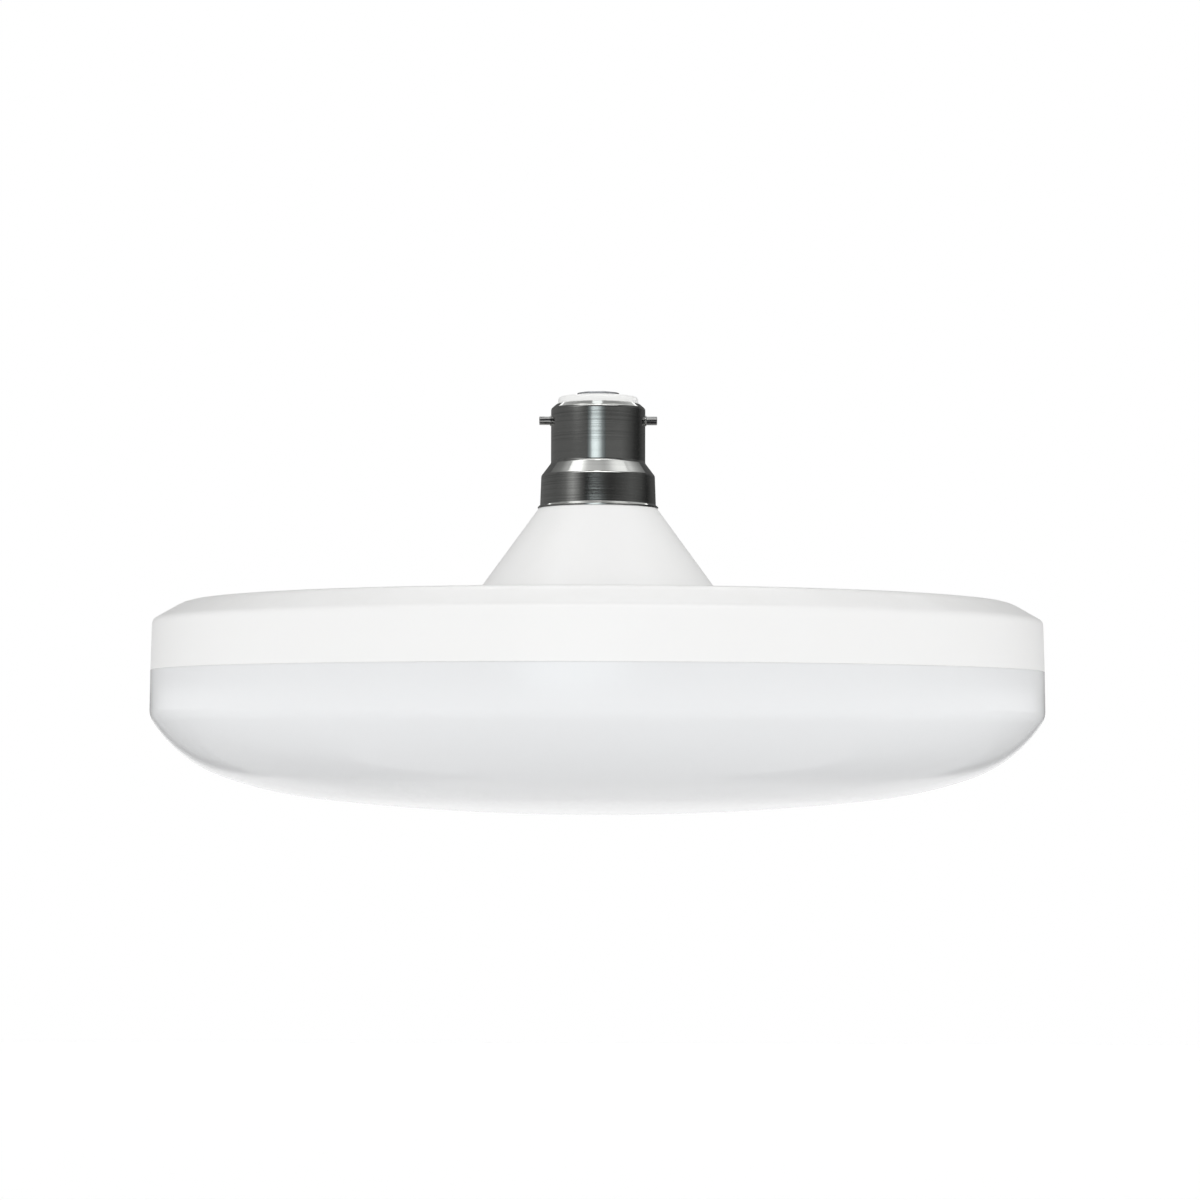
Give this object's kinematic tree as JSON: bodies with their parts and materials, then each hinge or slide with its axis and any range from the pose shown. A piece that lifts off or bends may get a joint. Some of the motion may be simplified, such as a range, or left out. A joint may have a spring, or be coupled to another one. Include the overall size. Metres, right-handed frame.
{
  "type": "led disc bulb",
  "caption": "Bayonet-cap LED lamp with a cone neck, a wide flat white disc housing and a shallow opal diffuser dome.",
  "frame": {"origin": "where the cap's axis crosses the axis of the two bayonet pins", "axes": "+Z along the cap's axis towards the lamp holder, X along the bayonet pins, the contacts on the Y axis"},
  "size_m": [0.206, 0.206, 0.0979],
  "materials": {
    "cap_metal": "turned and brushed, dark nickel plating",
    "pin_metal": "bright nickel plating",
    "insulator_white": "moulded, satin white",
    "tinned_contact": "tinned grey, softly shiny",
    "housing_white": "moulded, satin white",
    "diffuser_opal": "glossy opal, lets light through but not a view",
    "spreader_aluminium": "mill finish",
    "insulating_film": "thin cream film",
    "white_solder_mask": "white solder mask on a metal core",
    "led_frame_white": "moulded white",
    "phosphor_yellow": "yellow phosphor in silicone",
    "screw_steel": "zinc plated",
    "green_laminate": "green solder mask",
    "black_sleeve": "shrunk plastic sleeve",
    "film_capacitor_red": "dipped red-brown",
    "varistor_blue": "blue coating",
    "resistor_body": "pale green coating",
    "black_package": "moulded black",
    "copper_winding": "enamelled copper",
    "ferrite": "dark grey ferrite",
    "pin_brass": "drawn pin",
    "live_insulation": "red insulation",
    "neutral_insulation": "black insulation"
  },
  "bodies": {
    "root": {"cap_shell": "cap_metal", "bayonet_pin_left": "pin_metal", "bayonet_pin_right": "pin_metal", "cap_insulator": "insulator_white", "contact_front": "tinned_contact", "contact_rear": "tinned_contact", "housing": "housing_white", "diffuser": "diffuser_opal", "heat_spreader": "spreader_aluminium", "insulating_sheet": "insulating_film", "led_board": "white_solder_mask", "led_frames_outer": "led_frame_white", "led_frames_middle": "led_frame_white", "led_frames_inner": "led_frame_white", "led_phosphor_outer": "phosphor_yellow", "led_phosphor_middle": "phosphor_yellow", "led_phosphor_inner": "phosphor_yellow", "driver_board": "green_laminate", "bulk_capacitor": "black_sleeve", "output_capacitor": "black_sleeve", "film_capacitor": "film_capacitor_red", "varistor": "varistor_blue", "fusible_resistor": "resistor_body", "bridge_rectifier": "black_package", "driver_chip": "black_package", "transformer_bobbin": "black_package", "transformer_winding": "copper_winding", "transformer_core": "ferrite", "output_pin_negative": "pin_brass", "output_pin_positive": "pin_brass", "output_header": "black_package", "output_socket": "insulator_white", "live_wire": "live_insulation", "neutral_wire": "neutral_insulation", "board_screw_1": "screw_steel", "board_screw_2": "screw_steel", "board_screw_3": "screw_steel", "board_screw_4": "screw_steel", "board_screw_5": "screw_steel", "board_screw_6": "screw_steel", "driver_screw_1": "screw_steel", "driver_screw_2": "screw_steel", "driver_screw_3": "screw_steel"}
  },
  "joints": []
}
